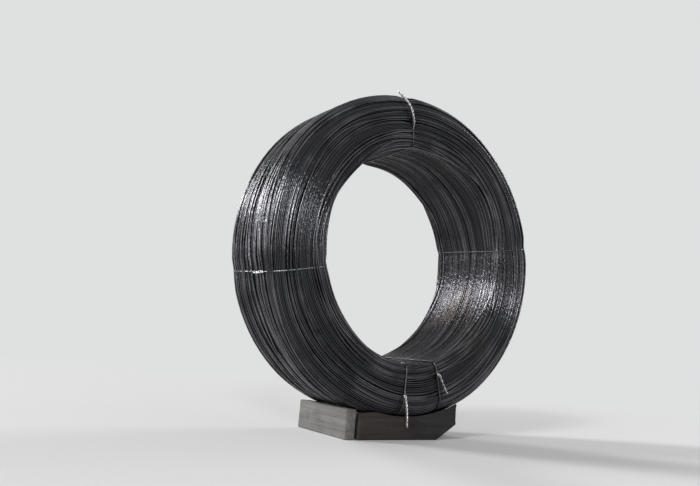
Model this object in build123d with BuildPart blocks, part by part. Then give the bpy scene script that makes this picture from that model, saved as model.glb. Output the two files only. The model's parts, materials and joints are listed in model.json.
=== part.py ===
from build123d import *
import math
import os

# A coil of spring steel wire standing on its rim on two sawn rails and a scooped cross timber.
# Millimetres. +Z is up, the coil's axis runs along Y and its front end looks towards -Y.
# The origin is on the floor, midway between the rails and between the coil's two ends.

# The wound coil
coil_diameter = 1280.0      # over the turns
bore_diameter = 840.0       # inside the turns
coil_width = 390.0          # from end to end
shoulder_radius = 90.0      # where the outside rounds over on to an end
mouth_radius = 25.0         # where an end rounds over into the bore
end_turns = 3               # bundles of turns across the flat of an end
shoulder_turns = 3          # ... over a shoulder
mouth_turns = 1             # ... round the edge of the bore
outside_turns = 5           # ... along the outside
turn_rise = 8.0             # height of their crests above the valleys between them

# The wire ties round the coil's section
tie_wire = 6.0
tie_sides = 5               # of a tie's section
tie_gap = 0.3               # between a tie and the turns that it lies on
tie_mouth_bend = 10.0       # bend of a tie round the edge of the bore
tie_inset = 0.5             # how far a tie lies below the wall of the bore
channel_width = 14.0        # where a tie has pressed into the wall of the bore
tail_wire = 7.4             # the two twisted ends together
tail_length = 70.0
tail_bend = 14.0
twelve_angle = 97.5         # the ties' places round the axis, in degrees from +X towards +Z
nine_angle = 192.5
six_angle = 268.0
five_angle = 285.0
three_angle = 11.0

# The timbers
rail_spacing = 440.0        # clear width between the two rails
rail_width = 45.0
rail_height = 108.0
rail_setback = 26.0         # a rail's end lies this far inside the coil's end
rail_crush = 2.0            # how far the coil has pressed into a rail's edge
timber_gap = 0.3            # between the coil and the rails, and behind the cross timber
cross_setback = 20.0        # the cross timber's face lies this far inside the coil's end
cross_depth = 90.0
cross_left_height = 94.0    # its top rises from the left end to the right one
cross_right_height = 140.0
cross_slit = 10.0           # between the left rail and the cross timber
cross_overhang = 38.0       # past the inner side of the right rail
cross_clearance = 1.5       # between the lowest ties and the scoop
cross_cut_length = 96.0     # the sawn-off lower corner
cross_cut_height = 58.0
arris = 3.0                 # small bevel along a rail's outer edge

coil_radius = coil_diameter / 2
bore_radius = bore_diameter / 2
tie_radius = tie_wire / 2
tail_radius = tail_wire / 2
front = -coil_width / 2
back = coil_width / 2
seat_drop = math.sqrt((coil_radius - rail_crush) ** 2 - (rail_spacing / 2) ** 2)
axis_height = rail_height + seat_drop
axis = Axis((0, 0, axis_height), (0, 1, 0))
os.makedirs("parts", exist_ok=True)


def save(piece, name):
    piece.part.label = name
    export_step(piece.part, "parts/" + name + ".step")


def radial_plane(angle):
    """A plane through the coil's axis, with x outwards at this angle and y along the axis."""
    outward = Vector(math.cos(math.radians(angle)), 0, math.sin(math.radians(angle)))
    return Plane(origin=(0, 0, axis_height), x_dir=outward, z_dir=outward.cross(Vector(0, 1, 0)))


def over_arc(centre, radius, count, start, stop):
    """Points over an arc of an end's profile, alternately in a valley and on a turn's crest."""
    points = []
    for i in range(2 * count + 1):
        angle = math.radians(start + (stop - start) * i / (2 * count))
        reach = radius - (0 if i % 2 else turn_rise)
        points.append((centre[0] + reach * math.cos(angle), centre[1] - reach * math.sin(angle)))
    return points


def draw_end(side):
    """The turns of one end, from the bore to the outside. Side is 1 in front and -1 behind."""
    mouth_centre = (bore_radius + mouth_radius, front + mouth_radius)
    shoulder_centre = (coil_radius - shoulder_radius, front + shoulder_radius)
    flat = shoulder_centre[0] - mouth_centre[0]
    points = [(bore_radius, 0), (bore_radius, mouth_centre[1])]
    points += over_arc(mouth_centre, mouth_radius, mouth_turns, 180, 90)[1:]
    for i in range(1, 2 * end_turns):
        points.append((mouth_centre[0] + flat * i / (2 * end_turns), front + (0 if i % 2 else turn_rise)))
    points += over_arc(shoulder_centre, shoulder_radius, shoulder_turns, 90, 0)
    Polyline(*((r, side * y) for r, y in points))


def draw_outside():
    """The turns along the outside, between the two shoulders."""
    low, high = front + shoulder_radius, back - shoulder_radius
    points = []
    for i in range(2 * outside_turns + 1):
        reach = coil_radius - (0 if i % 2 else turn_rise)
        points.append((reach, low + (high - low) * i / (2 * outside_turns)))
    Polyline(*points)


# Where a tie's centre line runs: in the bore, across an end and along the outside
tie_in_bore = bore_radius + tie_inset + tie_radius
tie_at_end = front - tie_gap - tie_radius
tie_outside = coil_radius + tie_gap + tie_radius
channel_floor = tie_in_bore + tie_radius + tie_gap

with BuildPart() as coil:
    with BuildSketch(Plane.XY.offset(axis_height)):
        with BuildLine():
            draw_end(1)
            draw_end(-1)
            draw_outside()
        make_face()
    revolve(axis=axis)
    # The ties have pressed a channel into the wall of the bore, right through from end to end.
    for angle in (twelve_angle, nine_angle, six_angle, five_angle, three_angle):
        with BuildSketch(radial_plane(angle)):
            with Locations((channel_floor - mouth_radius, 0)):
                Rectangle(mouth_radius, coil_width + mouth_radius, align=(Align.MIN, Align.CENTER))
        extrude(amount=channel_width / 2, both=True, mode=Mode.SUBTRACT)
save(coil, "coil")

# A tie is one wire bent round the section, and its two ends are twisted into a tail. The tail's
# points are given from the axis outwards and along the axis.
root_at_end = front - tie_gap - tail_radius
tail_at_end = tie_at_end - tie_radius - tail_radius
root_outside = coil_radius + tie_gap + tail_radius
tail_outside = tie_outside + tie_radius + tail_radius
rim = bore_radius + mouth_radius
shoulder = coil_radius - shoulder_radius
ties = (
    ("tie_twelve", twelve_angle,
     [(shoulder - 0.6 * tail_length, root_at_end), (shoulder - 0.2 * tail_length, tail_at_end),
      (shoulder + 1.35 * tail_length, tail_at_end)]),
    ("tie_nine", nine_angle,
     [(root_outside, -0.8 * tail_length), (tail_outside, -1.2 * tail_length),
      (tail_outside, -2 * tail_length)]),
    ("tie_six", six_angle,
     [(shoulder - 0.4 * tail_length, root_at_end), (shoulder, tail_at_end),
      (shoulder + 1.5 * tail_length, tail_at_end)]),
    ("tie_five", five_angle,
     [(rim + 0.2 * tail_length, root_at_end), (rim + 0.6 * tail_length, tail_at_end),
      (rim + 1.5 * tail_length, tail_at_end)]),
    ("tie_three", three_angle,
     [(root_outside, 0.7 * tail_length), (tail_outside, 0.3 * tail_length),
      (tail_outside, -0.3 * tail_length)]),
)
outer_bend = shoulder_radius + tie_gap + tie_radius
for name, angle, tail_points in ties:
    with BuildPart() as tie:
        with BuildLine(radial_plane(angle)) as loop:
            FilletPolyline(
                (tie_in_bore, tie_at_end), (tie_outside, tie_at_end),
                (tie_outside, -tie_at_end), (tie_in_bore, -tie_at_end),
                radius=[tie_mouth_bend, outer_bend, outer_bend, tie_mouth_bend], close=True)
        with BuildSketch(Plane(origin=loop.line @ 0, z_dir=loop.line % 0)):
            RegularPolygon(tie_radius, tie_sides)
        sweep(path=loop.line)
        with BuildLine(radial_plane(angle)) as tail:
            FilletPolyline(*tail_points, radius=tail_bend)
        with BuildSketch(Plane(origin=tail.line @ 0, z_dir=tail.line % 0)):
            RegularPolygon(tail_radius, tie_sides)
        sweep(path=tail.line)
    save(tie, name)

# The cross timber lies under the front of the coil. Its top is scooped to the coil's outside and
# bevelled under the shoulder, clear of the lowest ties, and its lower right corner is sawn off.
cross_left = cross_slit - rail_spacing / 2
cross_right = rail_spacing / 2 + cross_overhang
cross_face = front + cross_setback
scoop_gap = tie_gap + tie_wire + cross_clearance
scoop_radius = coil_radius + scoop_gap
scoop_front = front - scoop_gap
scoop_bevel = (shoulder_radius + scoop_gap) * (2 - math.sqrt(2))    # touches the shoulder's round
with BuildPart() as cross_timber:
    with BuildSketch(Plane.XZ.offset(-cross_face)):
        with BuildLine():
            Polyline((cross_left, 0), (cross_right - cross_cut_length, 0), (cross_right, cross_cut_height),
                     (cross_right, cross_right_height), (cross_left, cross_left_height), close=True)
        make_face()
    extrude(amount=-cross_depth)
    with BuildSketch(Plane.XY.offset(axis_height)):
        with BuildLine():
            Polyline((0, scoop_front), (scoop_radius - scoop_bevel, scoop_front),
                     (scoop_radius, scoop_front + scoop_bevel), (scoop_radius, 0), (0, 0), close=True)
        make_face()
    revolve(axis=axis, mode=Mode.SUBTRACT)
save(cross_timber, "cross_timber")

# The rails stand on edge, one each side of the coil's lowest turns, which have pressed a shallow
# seat into their inner edges. The right rail starts behind the cross timber.
rail_back = back - rail_setback
rail_fronts = {
    "rail_left": (-1, front + rail_setback),
    "rail_right": (1, cross_face + cross_depth + timber_gap),
}
for name, (side, rail_front) in rail_fronts.items():
    inner_side = side * rail_spacing / 2
    with BuildPart() as rail:
        with BuildSketch(Plane.XZ.offset(-rail_front)):
            with Locations((inner_side + side * rail_width / 2, rail_height / 2)):
                Rectangle(rail_width, rail_height)
        extrude(amount=rail_front - rail_back)
        top_edges = rail.edges().filter_by(Axis.Y).group_by(Axis.Z)[-1]
        chamfer(top_edges.sort_by(Axis.X)[-1 if side > 0 else 0], arris)
        with BuildSketch(Plane.XZ):
            with Locations((0, axis_height)):
                Circle(coil_radius + timber_gap)
        extrude(amount=coil_width / 2, both=True, mode=Mode.SUBTRACT)
    save(rail, name)
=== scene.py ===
import json
import math
import random

import bmesh
import bpy
import numpy as np
from bpy.props import FloatProperty, FloatVectorProperty, IntProperty, PointerProperty
from mathutils import Matrix, Vector, noise


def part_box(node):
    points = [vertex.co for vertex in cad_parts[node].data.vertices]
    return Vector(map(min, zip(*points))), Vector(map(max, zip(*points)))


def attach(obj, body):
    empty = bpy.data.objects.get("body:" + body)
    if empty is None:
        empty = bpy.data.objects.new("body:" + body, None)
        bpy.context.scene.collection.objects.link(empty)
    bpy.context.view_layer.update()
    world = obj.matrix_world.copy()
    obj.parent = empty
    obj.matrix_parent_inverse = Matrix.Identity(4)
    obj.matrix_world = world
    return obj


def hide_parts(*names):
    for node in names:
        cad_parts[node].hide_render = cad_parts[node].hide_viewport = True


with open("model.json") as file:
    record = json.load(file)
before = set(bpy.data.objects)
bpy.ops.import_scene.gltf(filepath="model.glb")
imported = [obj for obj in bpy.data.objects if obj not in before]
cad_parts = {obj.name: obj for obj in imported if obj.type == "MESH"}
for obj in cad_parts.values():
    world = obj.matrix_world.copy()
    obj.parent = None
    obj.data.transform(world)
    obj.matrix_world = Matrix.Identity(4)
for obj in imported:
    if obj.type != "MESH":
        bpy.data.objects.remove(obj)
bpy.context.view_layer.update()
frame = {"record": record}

# A coil of spring steel wire, made turn by turn round a core coloured dark as painted shade, with
# its wire ties and the timbers that it stands on. Metres, in the frame of the imported model: the
# coil's axis lies along Y, and the end with the tie tails looks towards -Y.

bl_info = {
    "name": "Spring Steel Wire Coil",
    "version": (1, 0, 0),
    "blender": (4, 5, 0),
    "location": "View3D > Sidebar > Wire Coil",
    "description": "Builds a tied coil of spring steel wire on timber rails",
    "category": "Add Mesh",
}

COIL_LOW, COIL_HIGH = (Vector(corner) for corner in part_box("coil"))
BORE = next(mount for mount in frame["record"]["mounts"] if mount["name"] == "bore")
AXIS_HEIGHT = BORE["pos_m"][2]
BORE_RADIUS = BORE["dims"]["r_mm"] / 1000
COIL_RADIUS = (COIL_HIGH.x - COIL_LOW.x) / 2
HALF_WIDTH = (COIL_HIGH.y - COIL_LOW.y) / 2
MOUTH_LEAST = 0.002     # rounding into the bore that is left deep in the bundle


class CoilSettings(bpy.types.PropertyGroup):
    wire: FloatProperty(
        name="Wire", description="Diameter of the spring steel wire",
        default=0.0068, min=0.002, subtype="DISTANCE", unit="LENGTH")
    shoulder: FloatProperty(
        name="Shoulder", description="Rounding of the outside on to an end",
        default=0.090, min=0.02, subtype="DISTANCE", unit="LENGTH")
    mouth: FloatProperty(
        name="Mouth", description="Rounding of an end into the bore",
        default=0.028, min=0.01, subtype="DISTANCE", unit="LENGTH")
    valley: FloatProperty(
        name="Valley", description="Depth between two bundles of turns",
        default=0.0023, min=0, subtype="DISTANCE", unit="LENGTH")
    layers: IntProperty(
        name="Layers", description="Layers of turns that are made round the core", default=3, min=1)
    wander: FloatProperty(
        name="Wander", description="How far a turn strays sideways from its place",
        default=0.0045, subtype="DISTANCE", unit="LENGTH")
    heave: FloatProperty(
        name="Heave", description="How far a turn stands above or below its layer",
        default=0.0007, subtype="DISTANCE", unit="LENGTH")
    loose: IntProperty(
        name="Loose turns", description="Turns that lie across the others, on top of them",
        default=44, min=0)
    steps: IntProperty(name="Steps", description="Stretches in one turn", default=96, min=24)
    sides: IntProperty(name="Sides", description="Sides of the wire's section", default=6, min=3)
    seed: IntProperty(name="Seed", description="Seed of the winding's random places", default=11)


class FinishSettings(bpy.types.PropertyGroup):
    steel: FloatVectorProperty(
        name="Steel", description="Colour of the black wire", subtype="COLOR", size=3,
        default=(0.041, 0.042, 0.047), min=0, max=1)
    steel_pale: FloatVectorProperty(
        name="Rubbed steel", description="Colour of the turns that are rubbed bright",
        subtype="COLOR", size=3, default=(0.17, 0.17, 0.18), min=0, max=1)
    rust: FloatVectorProperty(
        name="Rust", description="Colour of the light rust", subtype="COLOR", size=3,
        default=(0.068, 0.043, 0.033), min=0, max=1)
    tie: FloatVectorProperty(
        name="Tie wire", description="Colour of the dull tie wire", subtype="COLOR", size=3,
        default=(0.065, 0.066, 0.069), min=0, max=1)
    tail: FloatVectorProperty(
        name="Twisted tails", description="Colour of the tie wire where it is scuffed bright",
        subtype="COLOR", size=3, default=(0.66, 0.66, 0.65), min=0, max=1)
    pale_wood: FloatVectorProperty(
        name="Pale timber", description="Colour of the weathered rails", subtype="COLOR", size=3,
        default=(0.158, 0.154, 0.148), min=0, max=1)
    brown_wood: FloatVectorProperty(
        name="Brown timber", description="Colour of the cross timber", subtype="COLOR", size=3,
        default=(0.041, 0.033, 0.030), min=0, max=1)
    # The cross timber's colour towards its +X end, where it is coloured darker.
    dark_end_wood: FloatVectorProperty(
        name="Oily timber", description="Colour of the cross timber's oily end",
        subtype="COLOR", size=3, default=(0.027, 0.026, 0.026), min=0, max=1)


class StageSettings(bpy.types.PropertyGroup):
    eye: FloatVectorProperty(
        name="Camera", description="Place of the camera", subtype="TRANSLATION", unit="LENGTH",
        size=3, default=(-1.701, -2.303, 0.329))
    yaw: FloatProperty(
        name="Yaw", description="Turn of the view from +Y towards +X", subtype="ANGLE",
        unit="ROTATION", default=math.radians(33.10))
    pitch: FloatProperty(
        name="Pitch", description="Lift of the view above the level", subtype="ANGLE",
        unit="ROTATION", default=math.radians(8.43))
    roll: FloatProperty(
        name="Roll", description="Roll of the camera", subtype="ANGLE",
        unit="ROTATION", default=math.radians(4.72))
    lens: FloatProperty(
        name="Lens", description="Focal length on a sensor 36 mm wide", default=36.0, min=1)
    floor: FloatVectorProperty(
        name="Floor", description="Colour of the floor", subtype="COLOR", size=3,
        default=(0.66, 0.66, 0.66), min=0, max=1)
    backdrop: FloatVectorProperty(
        name="Backdrop", description="Colour behind the coil", subtype="COLOR", size=3,
        default=(0.74, 0.745, 0.75), min=0, max=1)


# Small helpers for meshes

def new_piece(name, bm, material, node):
    """Turns a bmesh into a smooth-shaded piece that rides on the root body in a node's place."""
    mesh = bpy.data.meshes.new(name)
    bm.to_mesh(mesh)
    bm.free()
    mesh.shade_smooth()
    piece = bpy.data.objects.new(name, mesh)
    bpy.context.scene.collection.objects.link(piece)
    mesh.materials.append(material)
    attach(piece, "root")
    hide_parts(node)
    return piece


# Bundles of turns over each straight or rounded run of the section's outline, from the middle of
# the bore over the front end, the outside and the back end, as in the solid. The two roundings
# into the bore have no bundle of their own: the turns only rise there from the end's last valley.
BUNDLES = (0, 0, 3, 3, 5, 3, 3, 0, 0)
FRONT_MOUTH, BACK_MOUTH = 1, 7
RUN_SLACK = 1e-9        # keeps the last place of a run from being lost to rounding


class Section:
    """The rounded outline of the coil's section, sunk by some depth, with a place for each length
    along it: from the middle of the bore over the front end and the outside to the back end."""

    def __init__(self, settings, depth=0.0, valley=0.0):
        self.inner = BORE_RADIUS + depth
        self.outer = COIL_RADIUS - depth
        self.half = HALF_WIDTH - depth
        self.shoulder = settings.shoulder - depth
        self.mouth = max(settings.mouth - depth, MOUTH_LEAST)
        self.valley = valley
        flat = self.outer - self.inner - self.shoulder - self.mouth
        self.runs = [
            self.half - self.mouth,
            self.mouth * math.pi / 2,
            flat,
            self.shoulder * math.pi / 2,
            2 * (self.half - self.shoulder),
            self.shoulder * math.pi / 2,
            flat,
            self.mouth * math.pi / 2,
            self.half - self.mouth,
        ]
        self.length = sum(self.runs)

    def at(self, s):
        """Radius, place along the axis, and the outward normal's two parts, for an array of s."""
        s = np.mod(s, self.length)
        r, y = np.zeros_like(s), np.zeros_like(s)
        nr, ny = np.zeros_like(s), np.zeros_like(s)
        start = 0.0
        for index, run in enumerate(self.runs):
            here = (s >= start) & (s <= start + run + RUN_SLACK)
            t = s[here] - start
            r[here], y[here], nr[here], ny[here] = self.run_at(index, t)
            sunk = self.valley * self.between_bundles(index, t / run)
            r[here] -= nr[here] * sunk
            y[here] -= ny[here] * sunk
            start += run
        return r, y, nr, ny

    @staticmethod
    def between_bundles(index, share):
        """0 on a bundle's crest and 1 in the valley beside it."""
        if BUNDLES[index]:
            return 0.5 + 0.5 * np.cos(2 * math.pi * BUNDLES[index] * share)
        if index == FRONT_MOUTH:
            return 0.5 - 0.5 * np.cos(math.pi * share)
        if index == BACK_MOUTH:
            return 0.5 + 0.5 * np.cos(math.pi * share)
        return np.zeros_like(share)

    def run_at(self, index, t):
        """What at() gives, before any valley, for the lengths t from the start of one run."""
        zero, one = np.zeros_like(t), np.ones_like(t)
        if index == 0:
            return self.inner * one, -t, -one, zero
        if index == FRONT_MOUTH:
            return self.arc(self.inner + self.mouth, -self.half + self.mouth, self.mouth,
                            math.pi + t / self.mouth)
        if index == 2:
            return self.inner + self.mouth + t, -self.half * one, zero, -one
        if index == 3:
            return self.arc(self.outer - self.shoulder, -self.half + self.shoulder, self.shoulder,
                            1.5 * math.pi + t / self.shoulder)
        if index == 4:
            return self.outer * one, -self.half + self.shoulder + t, one, zero
        if index == 5:
            return self.arc(self.outer - self.shoulder, self.half - self.shoulder, self.shoulder,
                            t / self.shoulder)
        if index == 6:
            return self.outer - self.shoulder - t, self.half * one, zero, one
        if index == BACK_MOUTH:
            return self.arc(self.inner + self.mouth, self.half - self.mouth, self.mouth,
                            0.5 * math.pi + t / self.mouth)
        return self.inner * one, self.half - self.mouth - t, -one, zero

    @staticmethod
    def arc(r, y, radius, angle):
        across, along = np.cos(angle), np.sin(angle)
        return r + radius * across, y + radius * along, across, along


def spun_turn(radius, wire, sides, steps):
    """One plain turn of wire round the coil's axis, as a mesh to be copied."""
    bm = bmesh.new()
    bmesh.ops.create_circle(
        bm, segments=sides, radius=wire / 2, matrix=Matrix.Translation((radius, 0, AXIS_HEIGHT)))
    bmesh.ops.spin(
        bm, geom=bm.verts[:] + bm.edges[:], cent=(0, 0, AXIS_HEIGHT), axis=(0, 1, 0),
        angle=2 * math.pi, steps=steps, use_merge=True)
    bmesh.ops.recalc_face_normals(bm, faces=bm.faces[:])
    mesh = bpy.data.meshes.new("turn")
    bm.to_mesh(mesh)
    bm.free()
    return mesh


def coordinates(mesh):
    flat = np.empty(len(mesh.vertices) * 3)
    mesh.vertices.foreach_get("co", flat)
    return flat.reshape(-1, 3)


TIES = ("tie_twelve", "tie_nine", "tie_six", "tie_five", "tie_three")
PINCH = 0.0055          # how far a tie pulls the turns in
PINCH_WIDTH = 0.030     # how soon they come out again beside it
BED_WIDTH = 0.33        # half the length of the outside that lies over the timbers
WAVES = 14              # waves of wandering that the turns share
WAVE_SPAN = 0.40        # shortest length of one across the turns
WAVE_REPEATS = 7        # most times that one repeats round the coil
WAVE_FALL = 0.7         # its size is divided by its repeats to this power
WANDER_RIPPLES = 9      # ripples round the coil of a turn's own wander
HEAVE_RIPPLES = 7       # ... and of its height


def tie_angle(node):
    """The place of a tie round the axis, from +X towards +Z."""
    low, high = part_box(node)
    middle = (low + high) / 2
    return math.atan2(middle.z - AXIS_HEIGHT, middle.x)


TIE_ANGLES = [tie_angle(node) for node in TIES]


def wave(rng, angle, size, ripples):
    """A closed random wave round the coil, whose quicker ripples are smaller."""
    total = np.zeros_like(angle)
    for k in range(1, ripples + 1):
        total += rng.gauss(0, size / k) * np.sin(k * angle + rng.uniform(0, 2 * math.pi))
    return total


class Winding:
    """The wandering that neighbouring turns share, so that they run together and seldom cross."""

    def __init__(self, rng, size):
        self.waves = []
        for _ in range(WAVES):
            across = rng.uniform(-1, 1) * 2 * math.pi / WAVE_SPAN
            around = rng.randint(1, WAVE_REPEATS)
            phase = rng.uniform(0, 2 * math.pi)
            self.waves.append((across, around, phase, rng.gauss(0, size / around ** WAVE_FALL)))

    def drift(self, s, angle):
        return sum(size * np.sin(across * s + around * angle + phase)
                   for across, around, phase, size in self.waves)


def squeeze(angle):
    """How far the ties pull the turns in at each angle."""
    total = np.zeros_like(angle)
    for tie in TIE_ANGLES:
        apart = np.angle(np.exp(1j * (angle - tie))) * COIL_RADIUS
        total = np.maximum(total, PINCH * np.exp(-(apart / PINCH_WIDTH) ** 2))
    return total


def bedded(angle):
    """1 over the timbers, where the coil's weight presses every turn level, and 0 elsewhere."""
    apart = np.angle(np.exp(1j * (angle + math.pi / 2))) * COIL_RADIUS
    return np.exp(-(apart / BED_WIDTH) ** 6)


def turns_piece(name, settings, section, places, material, rng, winding):
    """Many turns as one piece. Each place is a turn's length along the plain outline, its height
    over the section, its own wander and its tone."""
    template = spun_turn(COIL_RADIUS, settings.wire, settings.sides, settings.steps)
    plain = coordinates(template)
    across, up = plain[:, 0], plain[:, 2] - AXIS_HEIGHT
    angle = np.arctan2(up, across)
    off_r = np.hypot(across, up) - COIL_RADIUS
    off_y = plain[:, 1]
    count = len(plain)
    bm = bmesh.new()
    for _ in places:
        bm.from_mesh(template)
    bpy.data.meshes.remove(template)
    piece = new_piece(name, bm, material, "coil")
    moved = np.empty((count * len(places), 3))
    tones = np.empty(count * len(places))
    stretch = section.length / Section(settings).length
    for index, (s, height, wander, tone) in enumerate(places):
        along = s + winding.drift(s, angle) + wave(rng, angle, wander, WANDER_RIPPLES)
        lift = height + wave(rng, angle, settings.heave, HEAVE_RIPPLES)
        lift = lift * (1 - bedded(angle)) - squeeze(angle)
        r, y, nr, ny = section.at(along * stretch)
        r = r + nr * lift + off_r
        y = y + ny * lift + off_y
        block = slice(index * count, (index + 1) * count)
        moved[block, 0] = r * np.cos(angle)
        moved[block, 1] = y
        moved[block, 2] = AXIS_HEIGHT + r * np.sin(angle)
        tones[block] = tone
    piece.data.vertices.foreach_set("co", moved.ravel())
    attribute = piece.data.attributes.new("tone", "FLOAT", "POINT")
    attribute.data.foreach_set("value", tones)
    piece.data.update()


# How the turns are laid. Distances are in wires, and wander and heave in those of the settings.
PITCH = (0.94, 1.04)            # from one turn to the next
GAP_PITCH = (1.3, 1.8)          # ... where there is a gap between them
GAP_SHARE = 0.03                # how often there is one
TOGETHER = (2, 4)               # turns that lie at one height
OWN_WANDER = (0.10, 0.55)       # of one turn
OWN_HEAVE = 0.4
FIRST_LAYER = 0.5               # depth of the top layer
LAYER_STEP = 0.88               # from a layer to the next, which lies in its hollows
CORE_SLACK = 0.2                # how much deeper the core is than the layers
LOOSE_HEIGHT = (0.65, 0.95)     # of the turns that lie on top of the others
LOOSE_WANDER = (1.6, 4.5)
LOOSE_TONE = (0.5, 1)
CORE_POINTS = 120               # round the core's section


def lay_turns(rng, start, stop, settings):
    """Places for one layer of turns between two lengths along the outline. A few turns lie together
    at one height, and there are a few gaps."""
    places = []
    s = start
    while s < stop:
        rise = rng.gauss(0, settings.heave)
        wander = settings.wander * rng.uniform(*OWN_WANDER)
        for _ in range(rng.randint(*TOGETHER)):
            pitch = GAP_PITCH if rng.random() < GAP_SHARE else PITCH
            s += settings.wire * rng.uniform(*pitch)
            height = rise + rng.gauss(0, settings.heave * OWN_HEAVE)
            places.append((s, height, wander, rng.random()))
    return places


def zones(settings):
    """The stretches of the section that make one piece each, as lengths along its outline."""
    runs = Section(settings).runs
    ends = np.cumsum([0] + runs)
    half_bore = runs[0]
    return {
        "bore": (-half_bore, half_bore),
        "front": (ends[1], ends[3]),
        "outside": (ends[3], ends[6]),
        "back": (ends[6], ends[-1] - half_bore),
    }


# Materials

DENTS = 42              # slight bends in a metre of wire
DENT_DEPTH = 0.0025
TONE_SPREAD = 700       # sets the bends of one turn apart from the next one's
RUST_ANGLE = 2.60       # the rustiest side of the bore, in radians from the top towards +X
RUST_REACH = 0.13       # how far from the bore's wall there is any
RUST_MOST = 0.7         # how much of the colour it takes where it is thickest
# Painted shade: how dark the core is coloured beside the wire, for the shade deep in the bundle
CORE_PAINTED_SHADE = 0.22       # how dark the core is beside the wire
GRAIN = (2.2, 60)       # how finely the timber's grain changes along it and across it
FIBRE = (9, 420)        # ... and its fibres
RELIEF = 0.0012         # depth of both
SECOND_COLOUR = (-0.02, 0.20)   # from where to where, along X, the timber's second colour comes in
SECOND_COLOUR_EDGE = 0.16       # how ragged that is


class Nodes:
    """A material's node tree, with short calls for the nodes that it needs."""

    def __init__(self, name):
        self.material = bpy.data.materials.new(name)
        self.material.use_nodes = True
        self.tree = self.material.node_tree
        self.shader = self.tree.nodes["Principled BSDF"]
        self.coords = self.add("ShaderNodeTexCoord").outputs["Object"]

    def add(self, kind, **values):
        node = self.tree.nodes.new(kind)
        for key, value in values.items():
            setattr(node, key, value)
        return node

    def link(self, source, target):
        self.tree.links.new(source, target)

    def mapping(self, scale):
        node = self.add("ShaderNodeMapping")
        node.inputs["Scale"].default_value = scale
        self.link(self.coords, node.inputs["Vector"])
        return node.outputs["Vector"]

    def math(self, operation, *values):
        node = self.add("ShaderNodeMath", operation=operation)
        for socket, value in zip(node.inputs, values):
            if isinstance(value, bpy.types.NodeSocket):
                self.link(value, socket)
            else:
                socket.default_value = value
        return node.outputs[0]

    def round_the_coil(self):
        """The angle from the top towards +X, which jumps at the lowest point, and the distance from
        the coil's axis."""
        parts = self.add("ShaderNodeSeparateXYZ")
        self.link(self.coords, parts.inputs[0])
        up = self.math("SUBTRACT", parts.outputs["Z"], AXIS_HEIGHT)
        angle = self.math("ARCTAN2", parts.outputs["X"], up)
        across = self.math("POWER", parts.outputs["X"], 2.0)
        squares = self.math("ADD", across, self.math("POWER", up, 2.0))
        return angle, self.math("SQRT", squares)

    def noise(self, vector, scale, detail=4, roughness=0.55, distortion=0.0):
        node = self.add("ShaderNodeTexNoise")
        node.inputs["Scale"].default_value = scale
        node.inputs["Detail"].default_value = detail
        node.inputs["Roughness"].default_value = roughness
        node.inputs["Distortion"].default_value = distortion
        self.link(vector, node.inputs["Vector"])
        return node.outputs["Fac"]

    def ramp(self, value, low, high, low_to=0.0, high_to=1.0):
        node = self.add("ShaderNodeMapRange")
        ends = {"From Min": low, "From Max": high, "To Min": low_to, "To Max": high_to}
        for key, number in ends.items():
            node.inputs[key].default_value = number
        self.link(value, node.inputs["Value"])
        return node.outputs["Result"]

    def times(self, first, second):
        return self.math("MULTIPLY", first, second)

    def mix(self, factor, first, second):
        node = self.add("ShaderNodeMix", data_type="RGBA")
        self.link(factor, node.inputs["Factor"])
        for socket, colour in ((node.inputs["A"], first), (node.inputs["B"], second)):
            if isinstance(colour, bpy.types.NodeSocket):
                self.link(colour, socket)
            else:
                socket.default_value = (*colour, 1)
        return node.outputs["Result"]

    def bump(self, height, distance):
        node = self.add("ShaderNodeBump")
        node.inputs["Distance"].default_value = distance
        self.link(height, node.inputs["Height"])
        self.link(node.outputs["Normal"], self.shader.inputs["Normal"])

    def finish(self, colour, roughness, metallic, specular=0.5):
        self.link(colour, self.shader.inputs["Base Color"])
        self.link(roughness, self.shader.inputs["Roughness"])
        self.shader.inputs["Metallic"].default_value = metallic
        self.shader.inputs["Specular IOR Level"].default_value = specular
        return self.material


def spring_steel(finish):
    """Black drawn wire: oily and glossy, rubbed paler in places, with a breath of rust."""
    nodes = Nodes("spring_steel")
    tone = nodes.add("ShaderNodeAttribute", attribute_name="tone").outputs["Fac"]
    angle, radius = nodes.round_the_coil()

    # Some turns are rubbed paler, in patches.
    rubbed = nodes.noise(nodes.coords, 9, detail=4)
    rubbed = nodes.times(nodes.ramp(rubbed, 0.36, 0.62), nodes.ramp(tone, 0.45, 1.0))
    colour = nodes.mix(rubbed, tuple(finish.steel), tuple(finish.steel_pale))

    # Rust lies in blotches in and round the bore, and most of it on one side.
    rusty = nodes.ramp(nodes.noise(nodes.coords, 5.0, detail=5), 0.44, 0.62)
    near_bore = nodes.ramp(radius, BORE_RADIUS, BORE_RADIUS + RUST_REACH, 1.0, 0.0)
    rusty = nodes.times(rusty, near_bore)
    below = nodes.math("COSINE", nodes.math("SUBTRACT", angle, RUST_ANGLE))
    rusty = nodes.times(rusty, nodes.ramp(below, 0.4, 0.95, 0.15, 1.0))
    rusty = nodes.times(rusty, nodes.ramp(nodes.noise(nodes.coords, 90), 0.38, 0.62, 0.3, 1.0))
    colour = nodes.mix(nodes.times(rusty, RUST_MOST), colour, tuple(finish.rust))
    roughness = nodes.ramp(nodes.noise(nodes.coords, 60, detail=3), 0.3, 0.7, 0.13, 0.25)
    roughness = nodes.math("ADD", roughness, nodes.times(rusty, 0.25))

    # Each wire has slight bends of its own along it, which break up its glints.
    along = nodes.add("ShaderNodeCombineXYZ")
    nodes.link(nodes.math("MULTIPLY", angle, DENTS * COIL_RADIUS), along.inputs[0])
    nodes.link(nodes.math("MULTIPLY", tone, TONE_SPREAD), along.inputs[1])
    nodes.bump(nodes.noise(along.outputs[0], 1.0, detail=1), DENT_DEPTH)
    return nodes.finish(colour, roughness, 0.9)


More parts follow.
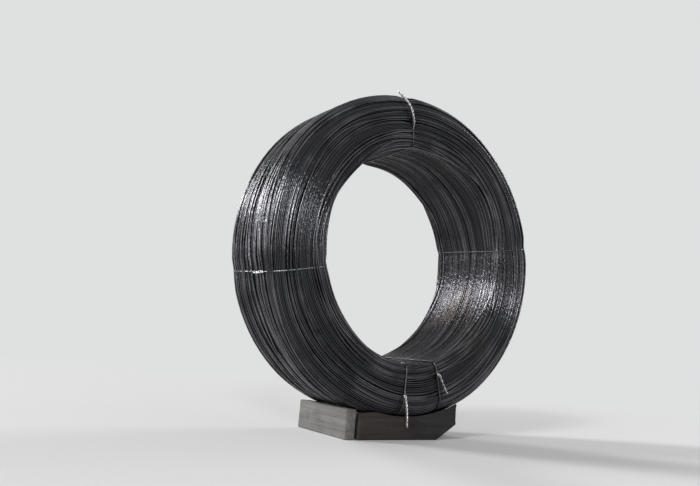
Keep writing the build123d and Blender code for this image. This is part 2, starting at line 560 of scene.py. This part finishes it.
def tie_wire(finish):
    """Dull annealed tie wire, scuffed bright where its ends are twisted."""
    nodes = Nodes("tie_wire")
    tone = nodes.add("ShaderNodeAttribute", attribute_name="tone").outputs["Fac"]
    worn = nodes.noise(nodes.coords, 70, detail=4)
    bright = nodes.ramp(worn, 0.30, 0.62, 0.25, 1.0)
    bright = nodes.times(bright, nodes.ramp(tone, 0.0, 1.0, 0.04, 1.0))
    colour = nodes.mix(bright, tuple(finish.tie), tuple(finish.tail))
    nodes.bump(nodes.noise(nodes.coords, 700, detail=2), 0.0001)
    return nodes.finish(colour, nodes.ramp(worn, 0.3, 0.7, 0.22, 0.45), 0.9)


def timber(name, along, left, right):
    """Sawn timber with its grain along one axis and dirt in patches, which goes over from one
    colour on the left to another on the right."""
    nodes = Nodes(name)
    grain_scale, fibre_scale = (
        tuple(slow if axis == along else fine for axis in range(3))
        for slow, fine in (GRAIN, FIBRE))
    grain = nodes.noise(nodes.mapping(grain_scale), 1.0, detail=6, roughness=0.6, distortion=0.6)
    fibre = nodes.noise(nodes.mapping(fibre_scale), 1.0, detail=3)
    dirt = nodes.noise(nodes.coords, 14, detail=5)
    parts = nodes.add("ShaderNodeSeparateXYZ")
    nodes.link(nodes.coords, parts.inputs[0])
    across = nodes.math("MULTIPLY_ADD", dirt, SECOND_COLOUR_EDGE, parts.outputs["X"])
    colour = nodes.mix(nodes.ramp(across, *SECOND_COLOUR), tuple(left), tuple(right))
    shade = nodes.ramp(grain, 0.35, 0.66, 1.0, 0.62)
    shade = nodes.times(shade, nodes.ramp(dirt, 0.5, 0.75, 1.0, 0.62))
    shaded = nodes.add("ShaderNodeVectorMath", operation="SCALE")
    nodes.link(colour, shaded.inputs[0])
    nodes.link(shade, shaded.inputs["Scale"])
    nodes.bump(nodes.math("ADD", grain, fibre), RELIEF)
    roughness = nodes.ramp(fibre, 0.3, 0.7, 0.7, 0.95)
    return nodes.finish(shaded.outputs[0], roughness, 0.0, specular=0.25)


def painted_shade_core(finish):
    """Painted shade for the bundle's depth, seen only between the turns: darker than the wire."""
    nodes = Nodes("core_painted_shade")
    # Painted shade: the wire's colour darkened, for the shade deep between the turns.
    deep = tuple(CORE_PAINTED_SHADE * part for part in finish.steel)
    deepest = tuple(0.5 * part for part in deep)
    lines = nodes.noise(nodes.mapping((40, 300, 40)), 1.0, detail=2)
    colour = nodes.mix(nodes.ramp(lines, 0.35, 0.65), deep, deepest)
    return nodes.finish(colour, nodes.ramp(lines, 0.3, 0.7, 0.55, 0.75), 0.6)


# Operators

class WIRECOIL_OT_core(bpy.types.Operator):
    """Make the core that the visible turns lie on, coloured dark as painted shade"""
    bl_idname = "wirecoil.core"
    bl_label = "Core"

    def execute(self, context):
        settings = context.scene.wirecoil
        depth = settings.wire * (settings.layers + CORE_SLACK)
        section = Section(settings, depth, settings.valley)
        s = np.linspace(0, section.length, CORE_POINTS, endpoint=False)
        r, y, _, _ = section.at(s)
        bm = bmesh.new()
        verts = [bm.verts.new((radius, along, AXIS_HEIGHT)) for radius, along in zip(r, y)]
        edges = [bm.edges.new((a, b)) for a, b in zip(verts, verts[1:] + verts[:1])]
        bmesh.ops.spin(
            bm, geom=verts + edges, cent=(0, 0, AXIS_HEIGHT), axis=(0, 1, 0),
            angle=2 * math.pi, steps=settings.steps, use_merge=True)
        bmesh.ops.recalc_face_normals(bm, faces=bm.faces[:])
        material = painted_shade_core(context.scene.wirecoil_finish)
        new_piece("bundle_core", bm, material, "coil")
        return {"FINISHED"}


class WIRECOIL_OT_turns(bpy.types.Operator):
    """Lay the turns of wire in layers, over the bore, both ends and the outside"""
    bl_idname = "wirecoil.turns"
    bl_label = "Turns"

    def execute(self, context):
        settings = context.scene.wirecoil
        rng = random.Random(settings.seed)
        winding = Winding(rng, settings.wander)
        material = spring_steel(context.scene.wirecoil_finish)
        reach = zones(settings)
        for layer in range(settings.layers):
            depth = settings.wire * (FIRST_LAYER + LAYER_STEP * layer)
            section = Section(settings, depth, settings.valley)
            for zone, (start, stop) in reach.items():
                places = lay_turns(rng, start, stop, settings)
                name = "turns_%s_%d" % (zone, layer + 1)
                turns_piece(name, settings, section, places, material, rng, winding)
        places = []
        for _ in range(settings.loose):
            s = rng.uniform(reach["front"][0], reach["back"][1])
            height = settings.wire * rng.uniform(*LOOSE_HEIGHT)
            wander = settings.wander * rng.uniform(*LOOSE_WANDER)
            places.append((s, height, wander, rng.uniform(*LOOSE_TONE)))
        section = Section(settings, settings.wire * FIRST_LAYER)
        turns_piece("turns_loose", settings, section, places, material, rng, winding)
        return {"FINISHED"}


def sweep(bm, points, radius, sides):
    """A wire bent along the points, made by extruding a circle from each to the next."""
    points = [Vector(point) for point in points]
    tangents = [(points[min(i + 1, len(points) - 1)] - points[max(i - 1, 0)]).normalized()
                for i in range(len(points))]
    turn = Vector((0, 0, 1)).rotation_difference(tangents[0]).to_matrix().to_4x4()
    ring = bmesh.ops.create_circle(
        bm, cap_ends=True, segments=sides, radius=radius,
        matrix=Matrix.Translation(points[0]) @ turn)["verts"]
    edges = list({edge for vert in ring for edge in vert.link_edges})
    for before, after, old, new in zip(points, points[1:], tangents, tangents[1:]):
        grown = bmesh.ops.extrude_edge_only(bm, edges=edges)["geom"]
        verts = [item for item in grown if isinstance(item, bmesh.types.BMVert)]
        edges = [item for item in grown if isinstance(item, bmesh.types.BMEdge)]
        swing = old.rotation_difference(new).to_matrix().to_4x4()
        move = Matrix.Translation(after) @ swing @ Matrix.Translation(-before)
        bmesh.ops.transform(bm, matrix=move, verts=verts)
    bmesh.ops.contextual_create(bm, geom=edges)
    bmesh.ops.recalc_face_normals(bm, faces=bm.faces[:])


# Each tail: how far along the section its root lies, from the middle of the bore over the front
# end, how often its two ends are twisted, and its line from there, as steps along the section,
# outwards and round the coil.
TAILS = {
    "tie_twelve": (0.268, 5.5, [
        (0, 0, 0), (0.020, 0.009, 0.004), (0.070, 0.012, 0.018), (0.118, 0.030, 0.060)]),
    "tie_nine": (0.503, 3.0, [
        (0, 0, 0), (-0.014, 0.008, 0.001), (-0.046, 0.008, 0.001), (-0.079, 0.011, -0.002)]),
    "tie_six": (0.296, 4.5, [
        (0, 0, 0), (0.013, 0.010, -0.002), (0.052, 0.021, 0.009), (0.088, 0.053, 0.022)]),
    "tie_five": (0.226, 2.5, [
        (0, 0, 0), (0.013, 0.009, 0.004), (0.046, 0.010, 0.012), (0.086, 0.014, 0.024)]),
    "tie_three": (0.640, 3.0, [
        (0, 0, 0), (-0.014, 0.009, 0.004), (-0.042, 0.009, -0.004), (-0.060, 0.008, -0.012)]),
}
# How bright each tie is rubbed: its loop, and its tail at the root and at the tip
SCUFFED = {
    "tie_twelve": (0.0, 0.35, 1.0),
    "tie_nine": (0.4, 1.0, 1.0),
    "tie_six": (0.0, 1.0, 0.4),
    "tie_five": (0.0, 0.55, 0.4),
    "tie_three": (0.0, 0.7, 0.8),
}
# How far each tie leans round the coil for each metre along it
LEANS = {
    "tie_twelve": -0.04,
    "tie_nine": -0.05,
    "tie_six": 0.03,
    "tie_five": -0.03,
    "tie_three": 0.05,
}
TIE_RADIUS = 0.0025     # of the tie wire
TIE_SIDES = 8
TAIL_POINTS = 60        # along a tail
LOOP_POINTS = 220       # along a tie from its root round the section and back
LOOP_GAP = 0.012        # from the root to where the loop settles on the turns
CURVE_STEPS = 24        # on a tail's curve, from one of its given points to the next
STRAND_REACH = 1.08     # from a tail's line to either strand's, in radii of the wire
ASKEW = (0.31, 0.52, 0.79)      # a direction in which no tail runs


def smooth_line(points, count):
    """Points spread evenly over a soft curve through the given ones."""
    points = np.array(points, float)
    ends = np.vstack([2 * points[0] - points[1], points, 2 * points[-1] - points[-2]])
    line = []
    for a, b, c, d in zip(ends, ends[1:], ends[2:], ends[3:]):
        for t in np.linspace(0, 1, CURVE_STEPS, endpoint=False):
            line.append(0.5 * ((2 * b) + (c - a) * t + (2 * a - 5 * b + 4 * c - d) * t ** 2
                               + (3 * b - a - 3 * c + d) * t ** 3))
    line.append(points[-1])
    line = np.array(line)
    length = np.concatenate([[0], np.cumsum(np.linalg.norm(np.diff(line, axis=0), axis=1))])
    spread = np.linspace(0, length[-1], count)
    return np.stack([np.interp(spread, length, line[:, axis]) for axis in range(3)], axis=1)


def twisted(line, radius, turns, phase):
    """One of two strands that wind round a line."""
    line = np.asarray(line)
    tangent = np.gradient(line, axis=0)
    tangent /= np.linalg.norm(tangent, axis=1)[:, None]
    side = np.cross(tangent, ASKEW)
    side /= np.linalg.norm(side, axis=1)[:, None]
    other = np.cross(tangent, side)
    t = np.linspace(0, 1, len(line))
    angle = (2 * math.pi * turns * t + phase)[:, None]
    return line + radius * (np.cos(angle) * side + np.sin(angle) * other)


class Tie:
    """One wire bent round the section at an angle of the coil, with its ends twisted together."""

    def __init__(self, settings, radius, angle, root, lean):
        self.section = Section(settings, PINCH - radius)
        self.radius = radius
        self.root = root
        self.lean = lean
        self.centre = Vector((0, 0, AXIS_HEIGHT))
        self.outward = Vector((math.cos(angle), 0, math.sin(angle)))
        self.around = Vector((-math.sin(angle), 0, math.cos(angle)))

    def place(self, s, out=0.0, aside=0.0):
        """The point at a length along the section, lifted off it and shifted round the coil."""
        r, y, nr, ny = (float(part[0]) for part in self.section.at(np.array([s])))
        spot = self.centre + self.outward * (r + nr * out) + Vector((0, y + ny * out, 0))
        return spot + self.around * (aside + self.lean * spot.y)

    def loop(self):
        last = self.root + self.section.length - LOOP_GAP
        return [self.place(s) for s in np.linspace(self.root + LOOP_GAP, last, LOOP_POINTS)]

    def tail(self, line):
        """A tail's smooth line and how far its strands lie from it."""
        strand = STRAND_REACH * self.radius
        points = [self.place(self.root + s, out + strand, aside) for s, out, aside in line]
        return smooth_line(points, TAIL_POINTS), strand


class WIRECOIL_OT_ties(bpy.types.Operator):
    """Bend the five tie wires round the bundle and twist their ends together"""
    bl_idname = "wirecoil.ties"
    bl_label = "Ties"

    def execute(self, context):
        settings = context.scene.wirecoil
        material = tie_wire(context.scene.wirecoil_finish)
        for node, angle in zip(TIES, TIE_ANGLES):
            root, turns, line = TAILS[node]
            tie = Tie(settings, TIE_RADIUS, angle, root, LEANS[node])
            tail, strand = tie.tail(line)
            first = twisted(tail, strand, turns, 0.0)
            second = twisted(tail, strand, turns, math.pi)
            bm = bmesh.new()
            sweep(bm, [*first[::-1], *tie.loop(), *second], TIE_RADIUS, TIE_SIDES)
            piece = new_piece(node + "_wire", bm, material, node)
            on_loop, at_root, at_tip = SCUFFED[node]
            on_tail = np.linspace(at_root, at_tip, TAIL_POINTS)
            scuffed = np.r_[on_tail[::-1], np.full(LOOP_POINTS, on_loop), on_tail]
            tone = piece.data.attributes.new("tone", "FLOAT", "POINT")
            tone.data.foreach_set("value", np.repeat(scuffed, TIE_SIDES))
        return {"FINISHED"}


# The cross timber's sawn corner, the fall of its top and its scoop's gap and bevel
CORNER_LENGTH = 0.096
CORNER_HEIGHT = 0.058
TOP_FALL = 0.046
SCOOP = (0.0078, 0.0574)
# Every timber
ARRIS = 0.004           # rounding of its edges
FACE_ALONG = 0.012      # length of its mesh's faces along the grain
FACE_ACROSS = 0.009     # ... and across it
SAWN_DEPTH = 0.0009     # roughness of its sawn faces
SAWN_SCALE = 70         # how fine that is
SAWN_STRETCH = 0.12     # how much slower it changes along the grain
CHIP_DEPTH = 0.0030     # of the chips in its edges
CHIP_SCALE = 26         # how small they are
CHIP_REACH = 0.008      # how far from an edge they go
CHIP_SHIFT = (3, 1, 2)  # sets them apart from the sawn faces' roughness
MOST_PROUD = 0.0003     # how far wear may raise a face
UNDERSIDE = 0.0005      # height up to which nothing is worn, so that it stands level
MERGE = 0.0002          # points nearer than this to each other or to a cut count as one


def everything(bm):
    return bm.verts[:] + bm.edges[:] + bm.faces[:]


class WIRECOIL_OT_timbers(bpy.types.Operator):
    """Saw the two rails and the cross timber, worn at their edges and crushed under the coil"""
    bl_idname = "wirecoil.timbers"
    bl_label = "Timbers"

    def execute(self, context):
        finish = context.scene.wirecoil_finish
        pale = timber("weathered_timber", 1, finish.pale_wood, finish.pale_wood)
        brown = timber("brown_timber", 0, finish.brown_wood, finish.dark_end_wood)
        self.saw("rail_left", pale, "weathered_timber", 1)
        self.saw("rail_right", pale, "weathered_timber", 1)
        self.saw("cross_timber", brown, "brown_timber", 0)
        return {"FINISHED"}

    def saw(self, node, material, slot, along):
        low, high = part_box(node)
        size, middle = high - low, (low + high) / 2
        bm = bmesh.new()
        box = Matrix.Translation(middle) @ Matrix.Diagonal((*size, 1))
        bmesh.ops.create_cube(bm, size=1, matrix=box)
        if node == "cross_timber":
            corner = Vector((high.x - CORNER_LENGTH, 0, low.z))
            self.cut(bm, corner, Vector((CORNER_HEIGHT, 0, -CORNER_LENGTH)))
            self.cut(bm, high, Vector((-TOP_FALL, 0, size.x)))
        bmesh.ops.bevel(
            bm, geom=bm.edges[:], offset=ARRIS, affect="EDGES", segments=2, profile=0.5,
            material=-1)
        for axis in range(3):
            count = int(size[axis] / (FACE_ALONG if axis == along else FACE_ACROSS))
            normal = Vector([1 if part == axis else 0 for part in range(3)])
            for i in range(1, count):
                spot = low + normal * (size[axis] * i / count)
                bmesh.ops.bisect_plane(bm, geom=everything(bm), plane_co=spot, plane_no=normal)
        self.wear(bm, low, high, along)
        if node == "cross_timber":
            self.scoop(bm, low, high)
            self.seat(bm, *SCOOP)
        else:
            self.seat(bm)
        bmesh.ops.recalc_face_normals(bm, faces=bm.faces[:])
        new_piece(node + "_sawn", bm, material, node)

    @staticmethod
    def cut(bm, spot, normal):
        """Saws off what lies beyond a plane and closes the cut."""
        sawn = bmesh.ops.bisect_plane(
            bm, geom=everything(bm), plane_co=spot, plane_no=normal.normalized(), dist=MERGE,
            clear_outer=True)["geom_cut"]
        rim = [item for item in sawn if isinstance(item, bmesh.types.BMEdge)]
        bmesh.ops.contextual_create(bm, geom=rim)

    @staticmethod
    def wear(bm, low, high, along):
        """Rough sawn faces and chipped edges."""
        bm.normal_update()
        for vert in bm.verts:
            if vert.co.z < low.z + UNDERSIDE:
                continue
            grain = Vector(vert.co)
            grain[along] *= SAWN_STRETCH
            depth = SAWN_DEPTH * noise.noise(grain * SAWN_SCALE)
            to_faces = sorted(
                min(vert.co[axis] - low[axis], high[axis] - vert.co[axis]) for axis in range(3))
            if to_faces[1] < CHIP_REACH:
                chip = noise.noise(vert.co * CHIP_SCALE + Vector(CHIP_SHIFT))
                depth -= CHIP_DEPTH * max(0.0, chip)
            vert.co += vert.normal * min(depth, MOST_PROUD)

    @staticmethod
    def seat_height(spot, gap, bevel):
        """Height of the coil's underside over a place, less a gap. The bevel lets it rise again
        under the coil's front shoulder."""
        rise = max(0.0, bevel - gap - HALF_WIDTH - spot.y)
        reach = COIL_RADIUS + gap - rise
        return AXIS_HEIGHT - math.sqrt(reach ** 2 - spot.x ** 2)

    def scoop(self, bm, low, high):
        """Hollows the cross timber's top under the coil. All the points over one place are pressed
        down together, from the underside to the top, so that no two of them meet."""
        for vert in bm.verts:
            to_end = high.x - vert.co.x
            foot = low.z + max(0.0, CORNER_HEIGHT * (1 - to_end / CORNER_LENGTH))
            top = high.z - TOP_FALL * to_end / (high.x - low.x)
            share = (self.seat_height(vert.co, *SCOOP) - foot) / (top - foot)
            vert.co.z = foot + (vert.co.z - foot) * min(share, 1.0)

    def seat(self, bm, gap=0.0, bevel=0.0):
        """Lowers what still stands in the coil, or nearer to it than the gap."""
        for vert in bm.verts:
            vert.co.z = min(vert.co.z, self.seat_height(vert.co, gap, bevel))
        bmesh.ops.remove_doubles(bm, verts=bm.verts[:], dist=MERGE)


# The lamps: their names, directions from the coil, strengths and spreads in degrees
SUNS = (
    ("behind", (-0.235, 0.89, 0.395), 1.3, 16),
    ("left", (-0.79, 0.46, 0.40), 2.2, 12),
    ("side", (-0.78, -0.39, 0.49), 1.2, 12),
    ("front_left", (-0.454, -0.818, 0.353), 0.8, 12),
    ("window", (-0.94, -0.30, 0.13), 1.0, 32),
    ("right", (0.85, 0.20, 0.47), 0.7, 22),
)
ROOM_LIGHT = 0.22       # strength of the light that comes evenly from all round
FLOOR_RADIUS = 40
FLOOR_FADE = (1.5, 5.0)     # from where to where the floor goes over into the backdrop
FLOOR_MOTTLE = 0.97     # how dark its darker patches are
CLIP_END = 200          # how far the camera sees


def sun(name, towards, strength, spread):
    """A distant lamp that shines from a direction, given from the coil towards the lamp."""
    light = bpy.data.lights.new(name, "SUN")
    light.energy = strength
    light.angle = math.radians(spread)
    lamp = bpy.data.objects.new(name, light)
    lamp.rotation_euler = Vector(towards).to_track_quat("Z", "Y").to_euler()
    bpy.context.scene.collection.objects.link(lamp)


def seen_directly(tree):
    """1 for the rays that show the plain backdrop: from the camera, in a reflection or through
    something clear."""
    rays = tree.nodes.new("ShaderNodeLightPath")
    total = rays.outputs["Is Camera Ray"]
    for name in ("Is Glossy Ray", "Is Transmission Ray"):
        either = tree.nodes.new("ShaderNodeMath")
        either.operation = "MAXIMUM"
        tree.links.new(total, either.inputs[0])
        tree.links.new(rays.outputs[name], either.inputs[1])
        total = either.outputs[0]
    return total


class WIRECOIL_OT_stage(bpy.types.Operator):
    """Set up the floor, the lights and the camera"""
    bl_idname = "wirecoil.stage"
    bl_label = "Stage"

    def execute(self, context):
        stage = context.scene.wirecoil_stage
        self.floor(stage)
        self.world(context, stage)
        for lamp in SUNS:
            sun(*lamp)
        self.camera(context, stage)
        context.scene.view_settings.view_transform = "Standard"
        return {"FINISHED"}

    def floor(self, stage):
        bm = bmesh.new()
        bmesh.ops.create_circle(bm, cap_ends=True, segments=96, radius=FLOOR_RADIUS)
        mesh = bpy.data.meshes.new("floor")
        bm.to_mesh(mesh)
        bm.free()
        floor = bpy.data.objects.new("floor", mesh)
        bpy.context.scene.collection.objects.link(floor)
        nodes = Nodes("pale_floor")
        shade = nodes.noise(nodes.coords, 1.2, detail=5)
        darker = tuple(FLOOR_MOTTLE * part for part in stage.floor)
        colour = nodes.mix(shade, tuple(stage.floor), darker)
        roughness = nodes.ramp(shade, 0, 1, 0.75, 0.9)
        mesh.materials.append(nodes.finish(colour, roughness, 0.0, specular=0.2))
        distance = nodes.add("ShaderNodeVectorMath", operation="LENGTH")
        nodes.link(nodes.coords, distance.inputs[0])
        far = nodes.ramp(distance.outputs["Value"], *FLOOR_FADE)
        far = nodes.times(far, seen_directly(nodes.tree))
        backdrop = nodes.add("ShaderNodeEmission")
        backdrop.inputs["Color"].default_value = (*stage.backdrop, 1)
        mix = nodes.add("ShaderNodeMixShader")
        nodes.link(far, mix.inputs["Fac"])
        nodes.link(nodes.shader.outputs[0], mix.inputs[1])
        nodes.link(backdrop.outputs[0], mix.inputs[2])
        nodes.link(mix.outputs[0], nodes.tree.nodes["Material Output"].inputs["Surface"])

    def world(self, context, stage):
        world = bpy.data.worlds.new("studio")
        world.use_nodes = True
        context.scene.world = world
        tree = world.node_tree
        light = tree.nodes["Background"]
        light.inputs["Color"].default_value = (1, 1, 1, 1)
        light.inputs["Strength"].default_value = ROOM_LIGHT
        seen = tree.nodes.new("ShaderNodeBackground")
        seen.inputs["Color"].default_value = (*stage.backdrop, 1)
        mix = tree.nodes.new("ShaderNodeMixShader")
        tree.links.new(seen_directly(tree), mix.inputs["Fac"])
        tree.links.new(light.outputs[0], mix.inputs[1])
        tree.links.new(seen.outputs[0], mix.inputs[2])
        tree.links.new(mix.outputs[0], tree.nodes["World Output"].inputs["Surface"])

    def camera(self, context, stage):
        camera = bpy.data.objects.new("camera", bpy.data.cameras.new("camera"))
        camera.data.sensor_width = 36
        camera.data.lens = stage.lens
        camera.data.clip_end = CLIP_END
        turn = Matrix.Rotation(-stage.yaw, 3, "Z")
        turn = turn @ Matrix.Rotation(math.pi / 2 + stage.pitch, 3, "X")
        turn = turn @ Matrix.Rotation(stage.roll, 3, "Z")
        camera.location = stage.eye
        camera.rotation_euler = turn.to_euler()
        context.scene.collection.objects.link(camera)
        context.scene.camera = camera


class WIRECOIL_PT_panel(bpy.types.Panel):
    bl_idname = "WIRECOIL_PT_panel"
    bl_label = "Wire Coil"
    bl_space_type = "VIEW_3D"
    bl_region_type = "UI"
    bl_category = "Wire Coil"

    def draw(self, context):
        for operator in OPERATORS:
            self.layout.operator(operator.bl_idname)
        scene = context.scene
        for settings in (scene.wirecoil, scene.wirecoil_finish, scene.wirecoil_stage):
            box = self.layout.box()
            for name in settings.__annotations__:
                box.prop(settings, name)


OPERATORS = (
    WIRECOIL_OT_core,
    WIRECOIL_OT_turns,
    WIRECOIL_OT_ties,
    WIRECOIL_OT_timbers,
    WIRECOIL_OT_stage,
)
CLASSES = (CoilSettings, FinishSettings, StageSettings, *OPERATORS, WIRECOIL_PT_panel)


def register():
    for cls in CLASSES:
        bpy.utils.register_class(cls)
    bpy.types.Scene.wirecoil = PointerProperty(type=CoilSettings)
    bpy.types.Scene.wirecoil_finish = PointerProperty(type=FinishSettings)
    bpy.types.Scene.wirecoil_stage = PointerProperty(type=StageSettings)


def unregister():
    del bpy.types.Scene.wirecoil_stage
    del bpy.types.Scene.wirecoil_finish
    del bpy.types.Scene.wirecoil
    for cls in reversed(CLASSES):
        bpy.utils.unregister_class(cls)


def main():
    register()
    bpy.ops.wirecoil.core()
    bpy.ops.wirecoil.turns()
    bpy.ops.wirecoil.ties()
    bpy.ops.wirecoil.timbers()
    bpy.ops.wirecoil.stage()


if __name__ == "__main__":
    main()
